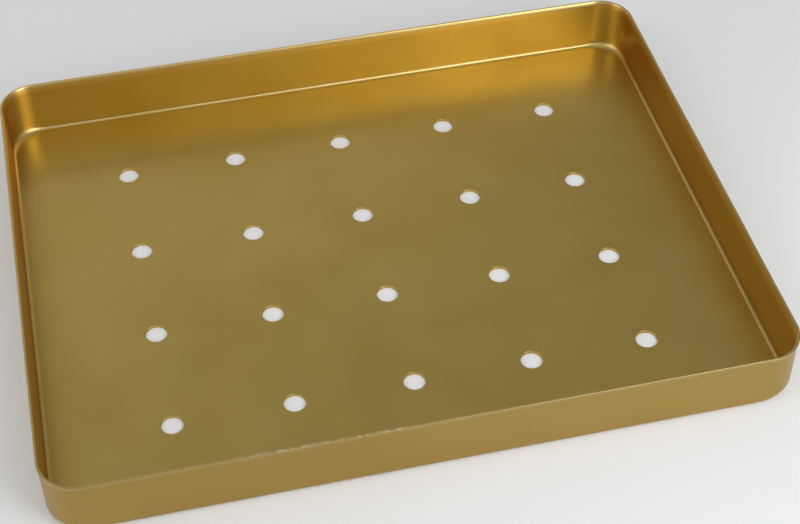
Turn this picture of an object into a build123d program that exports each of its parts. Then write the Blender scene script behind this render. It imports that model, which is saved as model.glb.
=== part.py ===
from build123d import *
import math
import os

# A pressed sheet-metal baking tray: flat perforated base, upright walls, plain trimmed rim.
# Frame: origin at the centre of the base's underside, +X along the long side, +Z up. Millimetres.

# Driving dimensions of the rim and the sheet
LENGTH = 350.0  # along X, over the rim's edge before it is deburred
WIDTH = 275.0  # along Y, likewise
HEIGHT = 32.0  # underside of the base to the top of the rim
SHEET = 1.5  # thickness of the sheet
RIM_CORNER_RADIUS = 18.0  # plan radius of the rim's corners, outside
RIM_EDGE = 1.1  # thickness left at the trimmed edge of the rim
DEBURR_RADIUS = 0.25  # rounding of the rim's two edges

# The wall stands straight between the base's bend and the rim's flare
WALL_INSET = 0.5  # how far the wall's outside stands in from the rim's edge
FLARE_HEIGHT = 3.5  # the wall leans out over this height below the rim

# The bend between wall and base, outside: tight along the sides, and rounder in the corners
BEND_RADIUS = 3.5  # along the sides
CORNER_RISE = 6.0  # height of the corner's bend
CORNER_REACH = 6.5  # how far the corner's bend runs in towards the tray's middle, on the diagonal

# Punched holes
HOLE_DIAMETER = 10.5
HOLE_PITCH_X = 57.5
HOLE_PITCH_Y = 58.0
HOLE_SHIFT = 1.0  # the pattern sits this far off the middle of the base, along X
HOLE_COLUMNS = 5  # along X
HOLE_ROWS = 4  # along Y
HOLE_ROLL = 0.3  # rounding that the punch leaves on the upper edge of each hole
PUNCH_LENGTH = 4 * SHEET  # centred on the underside, so it passes right through the base

# How many steps each curved zone is lofted in
BEND_STEPS = 6
CORNER_STEPS = 3
FLARE_STEPS = 3

# Standing a rounded corner in by 1 mm on the diagonal takes this much more plan radius
RADIUS_PER_DIAGONAL = 1.0 / (math.sqrt(2) - 1.0)
SAME = 1e-6  # lengths closer than this are equal


def steps(low, high, count):
    """Evenly spaced values from low to high, both included."""
    return [low + (high - low) * i / count for i in range(count + 1)]


def curve_in(height, rise, reach):
    """How far an elliptical bend stands in at a height above its foot: its whole reach, down to none."""
    above = min(height / rise, 1.0)
    return reach * (1.0 - math.sqrt(1.0 - (1.0 - above) ** 2))


def section(z, wall, skin):
    """Plan outline at height z of one skin of the sheet, whose straight wall stands in by wall."""
    height = z - skin
    radius = BEND_RADIUS - skin
    side = curve_in(height, radius, radius)
    corner = curve_in(height, CORNER_RISE - skin, CORNER_REACH - skin)
    inset = wall + side
    plan_radius = RIM_CORNER_RADIUS - inset + (corner - side) * RADIUS_PER_DIAGONAL
    outline = RectangleRounded(LENGTH - 2 * inset, WIDTH - 2 * inset, plan_radius)
    return Pos(0, 0, z) * outline


def bend_sections(skin):
    """From the flat base round the bend, then up to where the corners are upright too."""
    wall = WALL_INSET + skin
    radius = BEND_RADIUS - skin
    turned = [skin + radius * (1 - math.cos(turn)) for turn in steps(0.0, math.pi / 2, BEND_STEPS)]
    upright = steps(BEND_RADIUS, CORNER_RISE, CORNER_STEPS)[1:]
    return [section(z, wall, skin) for z in turned + upright]


def flare_sections(skin, edge_inset):
    """The top of the wall, leaning out on a parabola to the trimmed edge."""
    wall = WALL_INSET + skin
    sections = []
    for share in steps(0.0, 1.0, FLARE_STEPS):
        z = HEIGHT - FLARE_HEIGHT * (1 - share)
        inset = wall - (wall - edge_inset) * share**2
        sections.append(section(z, inset, skin))
    return sections


def block(skin, edge_inset):
    """All that one skin of the sheet encloses. The skin is at that depth from the tray's outside."""
    bend = bend_sections(skin)
    flare = flare_sections(skin, edge_inset)
    base_zone = loft(bend)
    wall_zone = loft([bend[-1], flare[0]], ruled=True)
    rim_zone = loft(flare)
    return base_zone + wall_zone + rim_zone


def pressing():
    """The sheet as drawn and trimmed: the outer block less the inner one, with its rim deburred."""
    shell = block(0.0, 0.0) - block(SHEET, RIM_EDGE)
    rim_edges = shell.edges().group_by(Axis.Z)[-1]
    return fillet(rim_edges, DEBURR_RADIUS)


def punched(shell):
    """The base punched from inside with a grid of holes, which rolls their upper edges."""
    centres = Pos(HOLE_SHIFT, 0, 0) * GridLocations(HOLE_PITCH_X, HOLE_PITCH_Y, HOLE_COLUMNS, HOLE_ROWS)
    shell = shell - centres * Cylinder(HOLE_DIAMETER / 2, PUNCH_LENGTH)
    circles = shell.edges().filter_by(GeomType.CIRCLE)
    hole_edges = [e for e in circles if abs(e.radius - HOLE_DIAMETER / 2) < SAME]
    upper_edges = [e for e in hole_edges if abs(e.center().Z - SHEET) < SAME]
    return fillet(upper_edges, HOLE_ROLL)


os.makedirs("parts", exist_ok=True)
tray = punched(pressing())
print("tray volume, cm3:", round(tray.volume / 1000, 2), "valid:", tray.is_valid)
export_step(tray, "parts/tray.step")
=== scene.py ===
import math

import bpy
from mathutils import Euler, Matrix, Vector, noise


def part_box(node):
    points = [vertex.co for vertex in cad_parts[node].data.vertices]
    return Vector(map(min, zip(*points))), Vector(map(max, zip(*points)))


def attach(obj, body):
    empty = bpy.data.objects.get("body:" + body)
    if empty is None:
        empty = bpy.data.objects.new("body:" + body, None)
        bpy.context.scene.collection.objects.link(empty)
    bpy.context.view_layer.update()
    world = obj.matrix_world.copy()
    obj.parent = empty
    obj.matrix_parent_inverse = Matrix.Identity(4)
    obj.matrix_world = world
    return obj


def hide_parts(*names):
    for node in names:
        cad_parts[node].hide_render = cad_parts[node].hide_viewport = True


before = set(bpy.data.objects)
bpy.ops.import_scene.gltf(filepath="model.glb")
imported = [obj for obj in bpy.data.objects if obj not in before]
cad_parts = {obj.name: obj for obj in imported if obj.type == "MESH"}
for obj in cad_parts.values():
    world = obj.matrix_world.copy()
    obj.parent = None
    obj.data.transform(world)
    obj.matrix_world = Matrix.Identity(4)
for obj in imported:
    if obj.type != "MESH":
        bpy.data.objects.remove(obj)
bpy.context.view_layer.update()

# The looks of a pressed, gold-anodised baking tray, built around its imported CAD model.
# The tray is one sheet of metal, so it is one clean mesh that stands for the CAD node "tray".
# Everything is in metres, in the CAD's frame: +X along the long side, +Z up, base on z = 0.

MM = 0.001

# ---------------------------------------------------------------- the tray's shape

# The sheet and its rim, as in the CAD
SHEET = 1.5 * MM  # thickness
RIM_EDGE = 1.1 * MM  # thickness left at the trimmed edge
DEBURR_RADIUS = 0.25 * MM  # rounding of the rim's two edges
RIM_CORNER_RADIUS = 18.0 * MM  # plan radius of the corners, outside
WALL_INSET = 0.5 * MM  # how far the wall's outside stands in from the rim's edge
FLARE_HEIGHT = 3.5 * MM  # the wall leans out over this height below the rim

# The bend between wall and base, outside: tight along the sides, and rounder in the corners
BEND_RADIUS = 3.5 * MM
CORNER_RISE = 6.0 * MM
CORNER_REACH = 6.5 * MM

# Punched holes
HOLE_RADIUS = 5.25 * MM
HOLE_PITCH_X = 57.5 * MM
HOLE_PITCH_Y = 58.0 * MM
HOLE_SHIFT = 1.0 * MM  # the pattern sits this far off the middle, along X
HOLE_COLUMNS = 5
HOLE_ROWS = 4
HOLE_ROLL = 0.3 * MM  # rounding that the punch leaves on the upper edge
HOLE_BURR = 0.08 * MM  # the lower edge, barely broken
HOLE_START = math.radians(225)  # a hole's points start towards -X, -Y, as those of the square round it do

# How finely each zone is divided
CELL_SIDE = 16  # mesh steps along one side of the square round a hole
CORNER_HALF = 16  # mesh steps over half of a corner's arc
BEND_STEPS = 12
CORNER_STEPS = 4
WALL_STEPS = 8
FLARE_STEPS = 6
ROUND_STEPS = 4
SUPPORT = 0.4 * MM  # a narrow row of faces that keeps the flat areas shading flat
WIDE_RING = 2.4 * HOLE_RADIUS  # radii of two rows of points round a hole
NEAR_RING = 1.4 * HOLE_RADIUS
MARGIN_SHARES = (0.35, 0.7)  # rows part of the way from the bend in to the squares round the holes
PLACE_STEP = 0.001 * MM  # points whose places round to the same step are one point
SHARP_ANGLE = math.radians(50)  # an edge that turns more than this is shaded sharp

# Small unevenness of a pressed sheet
BASE_CROWN = 0.10 * MM  # the base stands up this much at most between its bends
BASE_WAVE = 95.0 * MM  # length of its waves
CROWN_RISE = 3 * CORNER_REACH  # the crown grows over this distance, from the bend in
RIM_WANDER = 0.16 * MM  # how far the trimmed rim strays sideways
RIM_WAVE = 46.0 * MM
RIM_RIPPLE = 0.07 * MM  # short waves on top of that, in height as well
RIM_RIPPLE_WAVE = 11.0 * MM
WANDER_PATCH = Vector((7, 3, 1))  # where in the noise each of the two is taken from
RIPPLE_PATCH = Vector((2, 9, 4))
NOISE_SEED = 1  # unseeded, noise_vector would differ from run to run

# Standing a rounded corner in by 1 on the diagonal takes this much more plan radius
RADIUS_PER_DIAGONAL = 1.0 / (math.sqrt(2) - 1.0)

# Slopes of the flare's outer and inner faces at the rim, as insets over height
OUTER_SLOPE = 2 * WALL_INSET / FLARE_HEIGHT
INNER_SLOPE = 2 * (WALL_INSET + SHEET - RIM_EDGE) / FLARE_HEIGHT
OUTER_LEAN = math.atan(OUTER_SLOPE)
INNER_LEAN = math.atan(INNER_SLOPE)

# Centres of the rim's two roundings, as insets from the edge that the sheet would have unrounded
OUTER_ROUND_INSET = OUTER_SLOPE * DEBURR_RADIUS + DEBURR_RADIUS / math.cos(OUTER_LEAN)
INNER_ROUND_INSET = RIM_EDGE + INNER_SLOPE * DEBURR_RADIUS - DEBURR_RADIUS / math.cos(INNER_LEAN)

# Full size of the sheet's edge: the CAD's box plus what the rounding takes off each side
BOX_LOW, BOX_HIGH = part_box("tray")
ROUNDING_LOSS = OUTER_ROUND_INSET - DEBURR_RADIUS
HALF_LENGTH = (BOX_HIGH.x - BOX_LOW.x) / 2 + ROUNDING_LOSS
HALF_WIDTH = (BOX_HIGH.y - BOX_LOW.y) / 2 + ROUNDING_LOSS
HEIGHT = BOX_HIGH.z - BOX_LOW.z


def spread(low, high, count):
    """Evenly spaced values from low to high, both included."""
    return [low + (high - low) * step / count for step in range(count + 1)]


def curve_in(height, rise, reach):
    """How far a bend of this rise and reach still stands in at a height above its foot."""
    share = 1 - min(height / rise, 1)
    return reach * (1 - math.sqrt(1 - share * share))


def bend_ring(height, skin):
    """Inset and plan radius of the outer (skin 0) or inner (skin SHEET) face, at a height over its flat."""
    bend = BEND_RADIUS - skin
    side = curve_in(height, bend, bend)
    corner = curve_in(height, CORNER_RISE - skin, CORNER_REACH - skin)
    inset = WALL_INSET + skin + side
    return inset, RIM_CORNER_RADIUS - inset + (corner - side) * RADIUS_PER_DIAGONAL


def skin_rings(skin, edge_inset, top):
    """Rings (inset, plan radius, z) up one face of the wall, from its flat to the rim's rounding."""
    bend = BEND_RADIUS - skin
    turns = spread(0, math.pi / 2, BEND_STEPS)
    heights = [bend * (1 - math.cos(turn)) for turn in turns]
    heights += spread(bend, CORNER_RISE - skin, CORNER_STEPS)[1:]
    rings = [(*bend_ring(height, skin), skin + height) for height in heights]
    wall = WALL_INSET + skin
    flare_foot = HEIGHT - FLARE_HEIGHT
    for z in spread(CORNER_RISE, flare_foot, WALL_STEPS)[1:]:
        rings.append((wall, RIM_CORNER_RADIUS - wall, z))
    for z in spread(flare_foot, top, FLARE_STEPS)[1:]:
        share = (z - flare_foot) / FLARE_HEIGHT
        inset = wall - (wall - edge_inset) * share**2
        rings.append((inset, RIM_CORNER_RADIUS - inset, z))
    return rings


def rim_rings():
    """Rings over the rim: the outer rounding, the narrow flat top and the inner rounding."""
    centre_z = HEIGHT - DEBURR_RADIUS
    rings = []
    for angle in spread(-OUTER_LEAN, math.pi / 2, ROUND_STEPS):
        inset = OUTER_ROUND_INSET - DEBURR_RADIUS * math.cos(angle)
        rings.append((inset, RIM_CORNER_RADIUS - inset, centre_z + DEBURR_RADIUS * math.sin(angle)))
    for angle in spread(math.pi / 2, INNER_LEAN, ROUND_STEPS):
        inset = INNER_ROUND_INSET + DEBURR_RADIUS * math.cos(angle)
        rings.append((inset, RIM_CORNER_RADIUS - inset, centre_z + DEBURR_RADIUS * math.sin(angle)))
    return rings


def side_points(run, off, radius, count):
    """Points (along, outward) of a rounded rectangle's side, from the middle of one corner to the next."""
    straight = run - radius
    centre = off - radius
    points = []
    for step in range(count):
        if step < CORNER_HALF:
            turn = math.pi / 4 * (1 - step / CORNER_HALF)
            points.append((-straight - radius * math.sin(turn), centre + radius * math.cos(turn)))
        elif step <= count - CORNER_HALF:
            share = (step - CORNER_HALF) / (count - 2 * CORNER_HALF)
            points.append((straight * (2 * share - 1), off))
        else:
            turn = math.pi / 4 * (step - count + CORNER_HALF) / CORNER_HALF
            points.append((straight + radius * math.sin(turn), centre + radius * math.cos(turn)))
    return points


def ring_points(inset, radius, z):
    """A rounded rectangle at height z, counter-clockwise from the middle of its corner at -X, -Y."""
    length = HALF_LENGTH - inset
    width = HALF_WIDTH - inset
    long_side = side_points(length, width, radius, CELL_SIDE * HOLE_COLUMNS)
    short_side = side_points(width, length, radius, CELL_SIDE * HOLE_ROWS)
    points = [Vector((along, -out, z)) for along, out in long_side]
    points += [Vector((out, along, z)) for along, out in short_side]
    points += [Vector((-along, out, z)) for along, out in long_side]
    points += [Vector((-out, -along, z)) for along, out in short_side]
    return points


def rectangle_points(xs, ys, z):
    """A rectangle through these values of x and y, counter-clockwise from its corner at -X, -Y."""
    points = [Vector((x, ys[0], z)) for x in xs[:-1]]
    points += [Vector((xs[-1], y, z)) for y in ys[:-1]]
    points += [Vector((x, ys[-1], z)) for x in reversed(xs[1:])]
    points += [Vector((xs[0], y, z)) for y in reversed(ys[1:])]
    return points


def block_points(z):
    """The edge of the block of squares round the holes, with one point for each point of a ring."""
    half_x = HOLE_PITCH_X * HOLE_COLUMNS / 2
    half_y = HOLE_PITCH_Y * HOLE_ROWS / 2
    xs = spread(HOLE_SHIFT - half_x, HOLE_SHIFT + half_x, CELL_SIDE * HOLE_COLUMNS)
    ys = spread(-half_y, half_y, CELL_SIDE * HOLE_ROWS)
    return rectangle_points(xs, ys, z)


def square_points(centre_x, centre_y, z):
    """The square round one hole."""
    xs = spread(centre_x - HOLE_PITCH_X / 2, centre_x + HOLE_PITCH_X / 2, CELL_SIDE)
    ys = spread(centre_y - HOLE_PITCH_Y / 2, centre_y + HOLE_PITCH_Y / 2, CELL_SIDE)
    return rectangle_points(xs, ys, z)


def circle_points(centre_x, centre_y, radius, z):
    """A circle with one point for each point of the square round it."""
    count = 4 * CELL_SIDE
    angles = [HOLE_START + 2 * math.pi * step / count for step in range(count)]
    return [Vector((centre_x + radius * math.cos(a), centre_y + radius * math.sin(a), z)) for a in angles]


def between(outline, inner, share):
    """A row of points part of the way from one row to another."""
    return [a.lerp(b, share) for a, b in zip(outline, inner)]


class Skin:
    """Collects rows of points, the quads between them, and how far each point is on the tray's outside."""

    def __init__(self):
        self.points = []
        self.outside = []
        self.quads = []
        self.found = {}

    def row(self, places, outside):
        """The numbers of a row's points, each made once."""
        numbers = []
        for place in places:
            key = tuple(round(value / PLACE_STEP) for value in place)
            if key not in self.found:
                self.found[key] = len(self.points)
                self.points.append(place)
                self.outside.append(outside)
            numbers.append(self.found[key])
        return numbers

    def bands(self, rows, outside):
        """Quads between closed rows. They face up if each row is inside the one before."""
        numbered = [self.row(row, side) for row, side in zip(rows, outside)]
        for a, b in zip(numbered, numbered[1:]):
            for step in range(len(a)):
                after = (step + 1) % len(a)
                self.quads.append((a[step], a[after], b[after], b[step]))


def hole_rows(centre_x, centre_y):
    """Rows from the square on top, in to the hole, down through it and out to the square underneath."""

    def circle(radius, z):
        return circle_points(centre_x, centre_y, radius, z)

    upper = square_points(centre_x, centre_y, SHEET)
    lower = square_points(centre_x, centre_y, 0.0)
    wide = circle(WIDE_RING, SHEET)
    under = circle(WIDE_RING, 0.0)
    rolled = HOLE_RADIUS + HOLE_ROLL
    rows = [upper, between(upper, wide, 0.5), wide]
    rows += [circle(NEAR_RING, SHEET), circle(rolled + SUPPORT, SHEET)]
    for turn in spread(0, math.pi / 2, ROUND_STEPS):
        radius = rolled - HOLE_ROLL * math.sin(turn)
        rows.append(circle(radius, SHEET - HOLE_ROLL * (1 - math.cos(turn))))
    rows += [circle(HOLE_RADIUS, SHEET / 2), circle(HOLE_RADIUS, HOLE_BURR)]
    rows += [circle(HOLE_RADIUS + HOLE_BURR, 0.0), circle(rolled + SUPPORT, 0.0)]
    rows += [under, between(under, lower, 0.5), lower]
    return rows


def margin_rows(flat_ring, z):
    """Rows from the bend's edge in over the flat to the block of squares round the holes."""
    edge = ring_points(*flat_ring)
    support = ring_points(flat_ring[0] + SUPPORT, flat_ring[1] - SUPPORT, z)
    block = block_points(z)
    return [edge, support, *[between(support, block, share) for share in MARGIN_SHARES], block]


def uneven(place):
    """Moves a point of the perfect tray by the small unevenness of a real pressing."""
    x, y, z = place
    at = Vector((x, y, 0))
    edge_distance = min(HALF_LENGTH - abs(x), HALF_WIDTH - abs(y))
    on_base = min(max((edge_distance - CORNER_REACH) / CROWN_RISE, 0), 1)
    on_base = on_base * on_base * (3 - 2 * on_base)
    crown = BASE_CROWN * (0.5 + 0.5 * noise.noise(at / BASE_WAVE))
    up_the_wall = (z / HEIGHT) ** 3
    near_rim = up_the_wall**4
    drift = noise.noise_vector(at / RIM_WAVE + WANDER_PATCH) * RIM_WANDER
    ripple = noise.noise_vector(at / RIM_RIPPLE_WAVE + RIPPLE_PATCH) * RIM_RIPPLE
    return Vector(
        (
            x + drift.x * up_the_wall + ripple.x * near_rim,
            y + drift.y * up_the_wall + ripple.y * near_rim,
            z + crown * on_base + ripple.z * near_rim,
        )
    )


def build_tray():
    """The whole sheet as one closed mesh: outside, rim, inside, and the base with its holes."""
    outer_top = HEIGHT - DEBURR_RADIUS * (1 + math.sin(OUTER_LEAN))
    inner_top = HEIGHT - DEBURR_RADIUS * (1 - math.sin(INNER_LEAN))
    outer = skin_rings(0.0, 0.0, outer_top)
    inner = skin_rings(SHEET, RIM_EDGE, inner_top)
    up_and_over = outer[:-1] + rim_rings() + list(reversed(inner[:-1]))
    over_rim = spread(1.0, 0.0, 2 * ROUND_STEPS + 1)
    outside = [1.0] * (len(outer) - 1) + over_rim + [0.0] * (len(inner) - 1)

    skin = Skin()
    skin.bands([ring_points(*ring) for ring in up_and_over], outside)
    upper = margin_rows(inner[0], SHEET)
    skin.bands(upper, [0.0] * len(upper))
    lower = margin_rows(outer[0], 0.0)
    skin.bands(list(reversed(lower)), [1.0] * len(lower))
    for row in range(HOLE_ROWS):
        for column in range(HOLE_COLUMNS):
            centre_x = HOLE_SHIFT + (column - (HOLE_COLUMNS - 1) / 2) * HOLE_PITCH_X
            centre_y = (row - (HOLE_ROWS - 1) / 2) * HOLE_PITCH_Y
            rows = hole_rows(centre_x, centre_y)
            skin.bands(rows, [0.0 if points[0].z > 0 else 1.0 for points in rows])

    noise.seed_set(NOISE_SEED)
    mesh = bpy.data.meshes.new("tray_pressing")
    mesh.from_pydata([uneven(place) for place in skin.points], [], skin.quads)
    mesh.validate()
    outside_share = mesh.attributes.new("outside", "FLOAT", "POINT")
    outside_share.data.foreach_set("value", skin.outside)
    mesh.shade_smooth()
    mesh.set_sharp_from_angle(angle=SHARP_ANGLE)
    piece = bpy.data.objects.new("tray_pressing", mesh)
    bpy.context.scene.collection.objects.link(piece)
    return piece


# ---------------------------------------------------------------- materials

# Colours of the anodised metal
GOLD_DEEP = (0.545, 0.378, 0.088, 1)
GOLD_PALE = (0.595, 0.435, 0.126, 1)
# Painted highlight for the band inside the rim
GOLD_PAINTED_HIGHLIGHT = (0.92, 0.68, 0.24, 1)
# Bare metal in nicks and specks, also mixed in as a painted highlight on the bend and flare
BARE_METAL_AND_HIGHLIGHT = (0.70, 0.60, 0.37, 1)
# Painted sheen for the band under the rim, outside, partly the die's ironing
GOLD_IRONED_SHEEN = (0.50, 0.39, 0.17, 1)
# Painted shade on the outside of the cut edge
EDGE_PAINTED_SHADE = (0.44, 0.33, 0.12, 1)
# The outside's tones, painted darker: painted shade for its dimmer reflection
OUTER_SHADED_DEEP = (0.395, 0.258, 0.052, 1)
OUTER_SHADED_PALE = (0.435, 0.295, 0.071, 1)

# Tints at a low angle, where the dye looks deeper
GRAZING_INSIDE = (0.86, 0.57, 0.38, 1)
GRAZING_OUTSIDE = (1.0, 0.95, 0.9, 1)
GRAZING_RIM = (1.0, 0.84, 0.50, 1)

# The part of a noise's range that is used
NOISE_LOW = 0.3
NOISE_HIGH = 0.7

# How fine each noise is: about this many patches to the metre
CLOUD_SCALE = 17.0
GRAIN_SCALE = 2600.0
ROLLING_SCALE = (9.0, 1500.0, 1500.0)  # fine lines along X
GLOSS_SCALE = 31.0
NICK_SCALE = (260.0, 700.0, 1400.0)  # marks longer along X than they are wide or high
SPECK_SCALE = 95.0

# How much each noise moves the dye, from deep at 0 to pale at 1
CLOUD_TONE = (0.2, 0.8)
GRAIN_TONE = (-0.16, 0.16)
ROLLING_TONE = (-0.10, 0.10)

# Fades, each from the height or distance where it begins to the one where it is full
BEND_FOOT = (SHEET + 0.1 * MM, SHEET + 0.5 * MM)
BEND_TOP = (SHEET + 3.0 * MM, SHEET + 1.2 * MM)
FLARE_FADE = (3.0 * MM, 0.8 * MM)  # this and the next three are heights under the rim
# Band of painted highlight inside the rim
RIM_HIGHLIGHT_BAND_FADE = (5.0 * MM, 1.0 * MM)
# Band of painted sheen under the rim, outside
IRONED_SHEEN_FADE = (3.0 * MM, 1.5 * MM)
EDGE_FADE = (0.55 * MM, 0.10 * MM)
FRONT_FADE = (-HALF_WIDTH + 4 * SHEET, -HALF_WIDTH + 2 * SHEET)
SPECK_FADE = (0.035, 0.015)  # distances from a cell's point, over the cell's size

# How strongly each mark shows
# Painted highlight on the inside of the bend and flare
BURNISH_HIGHLIGHT_SHARE = 0.16
# Painted highlight inside the rim
RIM_HIGHLIGHT_SHARE = 0.6
# Painted sheen under the rim
IRONED_SHEEN_SHARE = 0.30
# Painted shade on the cut edge
EDGE_SHADE_SHARE = 0.6
SPECK_SHARE = 0.55

# Nicks: a mark is one where its noise is above a bar, which is lower on the worn stretch
WORN_FROM = -90.0 * MM  # the nicked stretch of the front rim, along X
WORN_TO = -15.0 * MM
WORN_FADE = 12.0 * MM
NICK_BAR = 0.68
NICK_BAR_WORN = 0.50
NICK_EDGE = 0.05  # a nick shows fully where its noise is this far above the bar

SPECK_BAR = 0.93  # only cells whose random value is above this have a speck

# Gloss and relief
GRAIN_ROUGHNESS = (0.35, 0.41)
GLOSS_ROUGHNESS = (-0.015, 0.02)
ROLLING_ROUGHNESS = (-0.012, 0.012)
BURNISH_GLOSS = 0.06
GRAIN_RELIEF = 0.9
ROLLING_RELIEF = 0.5
BUMP_STRENGTH = 0.10
BUMP_DEPTH = 0.05 * MM
COAT_WEIGHT = 0.25
COAT_ROUGHNESS = 0.3
COAT_IOR = 1.6

# The floor
FLOOR_SHADE = (0.86, 0.86, 0.855, 1)
FLOOR_LIGHT = (0.89, 0.89, 0.885, 1)
FLOOR_SCALE = 3.0
FLOOR_ROUGHNESS = 0.9
FLOOR_GLOW = 0.08

# Sockets of the Mix node when it mixes colours
MIX_SHARE, MIX_FIRST, MIX_SECOND, MIX_RESULT = 0, 6, 7, 2


class Tree:
    """A material's nodes, made by short calls that give back the output socket."""

    def __init__(self, name):
        self.material = bpy.data.materials.new(name)
        self.material.use_nodes = True
        self.nodes = self.material.node_tree.nodes
        self.links = self.material.node_tree.links
        self.shader = self.nodes["Principled BSDF"]

    def put(self, socket, value):
        if isinstance(value, bpy.types.NodeSocket):
            self.links.new(value, socket)
        else:
            socket.default_value = value

    def add(self, kind, inputs, output=0, **settings):
        made = self.nodes.new(kind)
        for name, value in settings.items():
            setattr(made, name, value)
        for name, value in inputs.items():
            self.put(made.inputs[name], value)
        return made.outputs[output]

    def math(self, operation, first, second):
        return self.add("ShaderNodeMath", {0: first, 1: second}, operation=operation)

    def times(self, first, second):
        return self.math("MULTIPLY", first, second)

    def plus(self, first, second):
        return self.math("ADD", first, second)

    def scaled(self, place, scale):
        return self.add("ShaderNodeMapping", {"Vector": place, "Scale": scale})

    def noise(self, place, scale, detail=2.0, roughness=0.5):
        inputs = {"Vector": place, "Scale": scale, "Detail": detail, "Roughness": roughness}
        return self.add("ShaderNodeTexNoise", inputs)

    def ramp(self, value, low, high, to_low=0.0, to_high=1.0, smooth=True):
        kind = "SMOOTHSTEP" if smooth else "LINEAR"
        inputs = {"Value": value, "From Min": low, "From Max": high, "To Min": to_low, "To Max": to_high}
        return self.add("ShaderNodeMapRange", inputs, interpolation_type=kind)

    def level(self, noise_value, low, high, smooth=False):
        """The used part of a noise's range, brought to values between two others."""
        return self.ramp(noise_value, NOISE_LOW, NOISE_HIGH, low, high, smooth)

    def mix(self, share, first, second):
        made = self.nodes.new("ShaderNodeMix")
        made.data_type = "RGBA"
        self.put(made.inputs[MIX_SHARE], share)
        self.put(made.inputs[MIX_FIRST], first)
        self.put(made.inputs[MIX_SECOND], second)
        return made.outputs[MIX_RESULT]

    def tinted(self, colour, where, strength, other):
        """A colour with another one mixed in where a mask says, up to a strength."""
        return self.mix(self.times(where, strength), colour, other)

    def set(self, **values):
        for name, value in values.items():
            self.put(self.shader.inputs[name.replace("_", " ")], value)


def nicked(tree, place, x, y):
    """Where the edge is nicked: often on one stretch of the front rim, and seldom elsewhere."""
    in_front = tree.ramp(y, *FRONT_FADE)
    into_stretch = tree.ramp(x, WORN_FROM - WORN_FADE, WORN_FROM)
    out_of_stretch = tree.ramp(x, WORN_TO + WORN_FADE, WORN_TO)
    stretch = tree.times(in_front, tree.times(into_stretch, out_of_stretch))
    marks = tree.noise(tree.scaled(place, NICK_SCALE), 1.0, detail=3.0, roughness=0.6)
    bar = tree.ramp(stretch, 0.0, 1.0, NICK_BAR, NICK_BAR_WORN)
    return tree.ramp(tree.math("SUBTRACT", marks, bar), 0.0, NICK_EDGE)


def specks(tree, place):
    """Where dust sat in the bath: a small round spot in a few of the cells."""
    cells = tree.nodes.new("ShaderNodeTexVoronoi")
    tree.put(cells.inputs["Vector"], place)
    tree.put(cells.inputs["Scale"], SPECK_SCALE)
    cell_value = tree.add("ShaderNodeSeparateColor", {0: cells.outputs["Color"]})
    chosen = tree.math("GREATER_THAN", cell_value, SPECK_BAR)
    return tree.times(tree.ramp(cells.outputs["Distance"], *SPECK_FADE), chosen)


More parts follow.
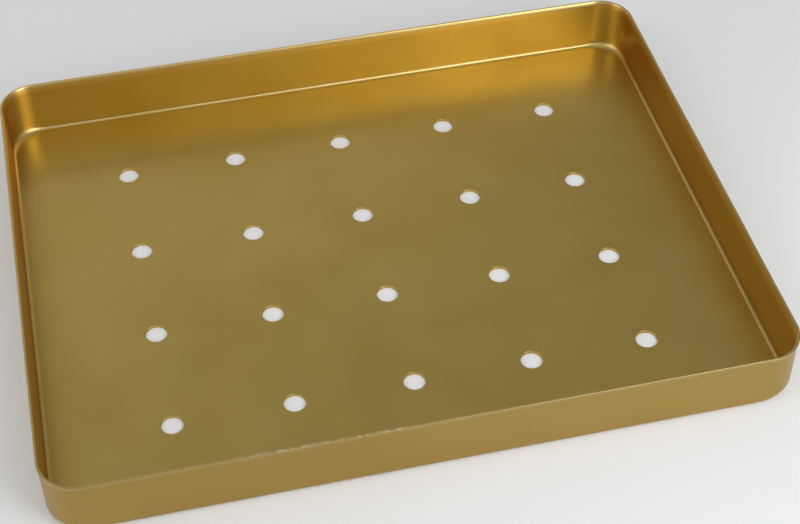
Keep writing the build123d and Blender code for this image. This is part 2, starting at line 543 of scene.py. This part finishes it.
def gold_anodised():
    """Satin anodised aluminium: an etched grain, faint rolling lines, and bare metal where it is worn."""
    tree = Tree("gold_anodised_sheet_detail")
    place = tree.add("ShaderNodeTexCoord", {}, output="Object")
    parts = tree.nodes.new("ShaderNodeSeparateXYZ")
    tree.put(parts.inputs[0], place)
    x, y, z = parts.outputs
    height_left = tree.math("SUBTRACT", HEIGHT, z)
    outside = tree.add("ShaderNodeAttribute", {}, output="Fac", attribute_name="outside")
    inside = tree.math("SUBTRACT", 1.0, outside)

    # Dye taken up unevenly over the sheet; the outside is painted darker as shade on its reflection
    cloud = tree.noise(place, CLOUD_SCALE, detail=3.0, roughness=0.55)
    grain = tree.noise(place, GRAIN_SCALE, roughness=0.6)
    rolling = tree.noise(tree.scaled(place, ROLLING_SCALE), 1.0, roughness=0.6)
    tone = tree.plus(tree.level(cloud, *CLOUD_TONE, smooth=True), tree.level(grain, *GRAIN_TONE))
    tone = tree.plus(tone, tree.level(rolling, *ROLLING_TONE))
    colour = tree.mix(tone, GOLD_DEEP, GOLD_PALE)
    colour = tree.mix(outside, colour, tree.mix(tone, OUTER_SHADED_DEEP, OUTER_SHADED_PALE))

    # Painted highlight in paler metal inside the bend and the flare; burnishing also makes them glossier
    on_bend = tree.times(tree.ramp(z, *BEND_FOOT), tree.ramp(z, *BEND_TOP))
    on_flare = tree.ramp(height_left, *FLARE_FADE)
    burnish_and_highlight = tree.times(inside, tree.math("MAXIMUM", on_bend, on_flare))
    colour = tree.tinted(colour, burnish_and_highlight, BURNISH_HIGHLIGHT_SHARE, BARE_METAL_AND_HIGHLIGHT)

    # A painted highlight brightens a band inside the rim, and its dye looks paler at a low angle
    under_rim = tree.ramp(height_left, *RIM_HIGHLIGHT_BAND_FADE)
    colour = tree.tinted(colour, tree.times(inside, under_rim), RIM_HIGHLIGHT_SHARE, GOLD_PAINTED_HIGHLIGHT)
    inside_tint = tree.mix(under_rim, GRAZING_INSIDE, GRAZING_RIM)

    # Painted sheen on a band outside under the rim, partly the die's ironing, and painted shade on the cut
    # edge
    ironed_sheen = tree.times(tree.ramp(height_left, *IRONED_SHEEN_FADE), outside)
    colour = tree.tinted(colour, ironed_sheen, IRONED_SHEEN_SHARE, GOLD_IRONED_SHEEN)
    # Painted shade darkens the outside of the cut edge and dims its highlight
    on_edge = tree.ramp(height_left, *EDGE_FADE)
    colour = tree.tinted(colour, tree.times(on_edge, outside), EDGE_SHADE_SHARE, EDGE_PAINTED_SHADE)

    # Bare metal in the nicks along the edge, and in a few specks
    colour = tree.mix(tree.times(on_edge, nicked(tree, place, x, y)), colour, BARE_METAL_AND_HIGHLIGHT)
    colour = tree.tinted(colour, specks(tree, place), SPECK_SHARE, BARE_METAL_AND_HIGHLIGHT)

    # Satin gloss that wanders a little, with the grain and the rolling lines in it
    wander = tree.level(tree.noise(place, GLOSS_SCALE), *GLOSS_ROUGHNESS, smooth=True)
    roughness = tree.plus(wander, tree.level(grain, *GRAIN_ROUGHNESS))
    roughness = tree.plus(roughness, tree.level(rolling, *ROLLING_ROUGHNESS))
    roughness = tree.math("SUBTRACT", roughness, tree.times(burnish_and_highlight, BURNISH_GLOSS))
    relief = tree.plus(tree.times(grain, GRAIN_RELIEF), tree.times(rolling, ROLLING_RELIEF))
    bump_inputs = {"Strength": BUMP_STRENGTH, "Distance": BUMP_DEPTH, "Height": relief}
    bump = tree.add("ShaderNodeBump", bump_inputs)

    tree.set(Base_Color=colour, Metallic=1.0, Roughness=roughness, Normal=bump)
    tree.set(Specular_Tint=tree.mix(outside, inside_tint, GRAZING_OUTSIDE))
    tree.set(Coat_Weight=COAT_WEIGHT, Coat_Roughness=COAT_ROUGHNESS, Coat_IOR=COAT_IOR)
    return tree.material


def floor_material():
    """A plain pale studio floor."""
    tree = Tree("studio_floor")
    place = tree.add("ShaderNodeTexCoord", {}, output="Object")
    shade = tree.level(tree.noise(place, FLOOR_SCALE), 0.0, 1.0, smooth=True)
    tree.set(Base_Color=tree.mix(shade, FLOOR_SHADE, FLOOR_LIGHT), Roughness=FLOOR_ROUGHNESS)
    tree.set(Emission_Color=(1, 1, 1, 1), Emission_Strength=FLOOR_GLOW)
    return tree.material


# ---------------------------------------------------------------- studio

FLOOR_SIZE = 9.0
WORLD_LIGHT = 0.31

# Soft boxes: name, azimuth from the front towards the right and elevation in degrees, distance, width
# and height in metres, power in watts, colour. The key stands near the tray, in front on the right,
# and the others fill in from further off.
WHITE = (1.0, 1.0, 1.0)
COOL = (0.96, 1.0, 1.07)
SOFT_BOXES = [
    ("key", 34, 32, 0.9, 0.5, 0.95, 4.3, COOL),
    ("front_fill", -10, 42, 1.9, 1.5, 1.2, 2.8, WHITE),
    ("left_fill", -76, 30, 1.9, 0.9, 1.6, 7.0, WHITE),
    ("back_fill", 180, 20, 1.9, 1.2, 1.2, 3.0, WHITE),
    ("back_left_fill", 212, 42, 1.9, 0.7, 1.0, 0.7, WHITE),
    ("overhead", 0, 90, 1.9, 1.5, 1.5, 2.0, WHITE),
]

# The camera looks from the front, a little from the left
CAMERA_AIM = Vector((9.7 * MM, 12.6 * MM, 0.0))
CAMERA_AZIMUTH = math.radians(-12.1)
CAMERA_ELEVATION = math.radians(44.9)
CAMERA_ROLL = math.radians(-0.9)
CAMERA_DISTANCE = 873.0 * MM
CAMERA_SENSOR = 36.0  # the sensor's width and the lens, in millimetres
CAMERA_LENS = 76.4
CAMERA_SHIFT_X = 0.0175
CAMERA_SHIFT_Y = -0.0334


def direction(azimuth, elevation):
    """The direction towards a place at an azimuth from the front, and an elevation."""
    flat = math.cos(elevation)
    return Vector((math.sin(azimuth) * flat, -math.cos(azimuth) * flat, math.sin(elevation)))


def build_floor():
    mesh = bpy.data.meshes.new("studio_floor")
    half = FLOOR_SIZE / 2
    corners = [(-half, -half, 0), (half, -half, 0), (half, half, 0), (-half, half, 0)]
    mesh.from_pydata(corners, [], [(0, 1, 2, 3)])
    floor = bpy.data.objects.new("studio_floor", mesh)
    bpy.context.scene.collection.objects.link(floor)
    mesh.materials.append(floor_material())
    return floor


def build_lights():
    for name, azimuth, elevation, distance, width, height, power, colour in SOFT_BOXES:
        lamp = bpy.data.lights.new(name, "AREA")
        lamp.shape = "RECTANGLE"
        lamp.size = width
        lamp.size_y = height
        lamp.energy = power
        lamp.color = colour
        box = bpy.data.objects.new(name, lamp)
        back = direction(math.radians(azimuth), math.radians(elevation))
        box.location = back * distance
        box.rotation_euler = back.to_track_quat("Z", "Y").to_euler()
        box.visible_camera = False
        bpy.context.scene.collection.objects.link(box)


def build_world():
    world = bpy.data.worlds.new("studio_air")
    world.use_nodes = True
    background = world.node_tree.nodes["Background"]
    background.inputs["Color"].default_value = (1, 1, 1, 1)
    background.inputs["Strength"].default_value = WORLD_LIGHT
    bpy.context.scene.world = world


def build_camera():
    data = bpy.data.cameras.new("camera")
    data.sensor_width = CAMERA_SENSOR
    data.lens = CAMERA_LENS
    data.shift_x = CAMERA_SHIFT_X
    data.shift_y = CAMERA_SHIFT_Y
    camera = bpy.data.objects.new("camera", data)
    back = direction(CAMERA_AZIMUTH, CAMERA_ELEVATION)
    camera.location = CAMERA_AIM + back * CAMERA_DISTANCE
    turned = (-back).to_track_quat("-Z", "Y").to_matrix() @ Euler((0, 0, CAMERA_ROLL)).to_matrix()
    camera.rotation_euler = turned.to_euler()
    bpy.context.scene.collection.objects.link(camera)
    bpy.context.scene.camera = camera


# ---------------------------------------------------------------- the scene

tray = build_tray()
tray.data.materials.append(gold_anodised())
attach(tray, "root")
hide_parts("tray")

build_floor()
build_lights()
build_world()
build_camera()
bpy.context.scene.view_settings.view_transform = "Standard"
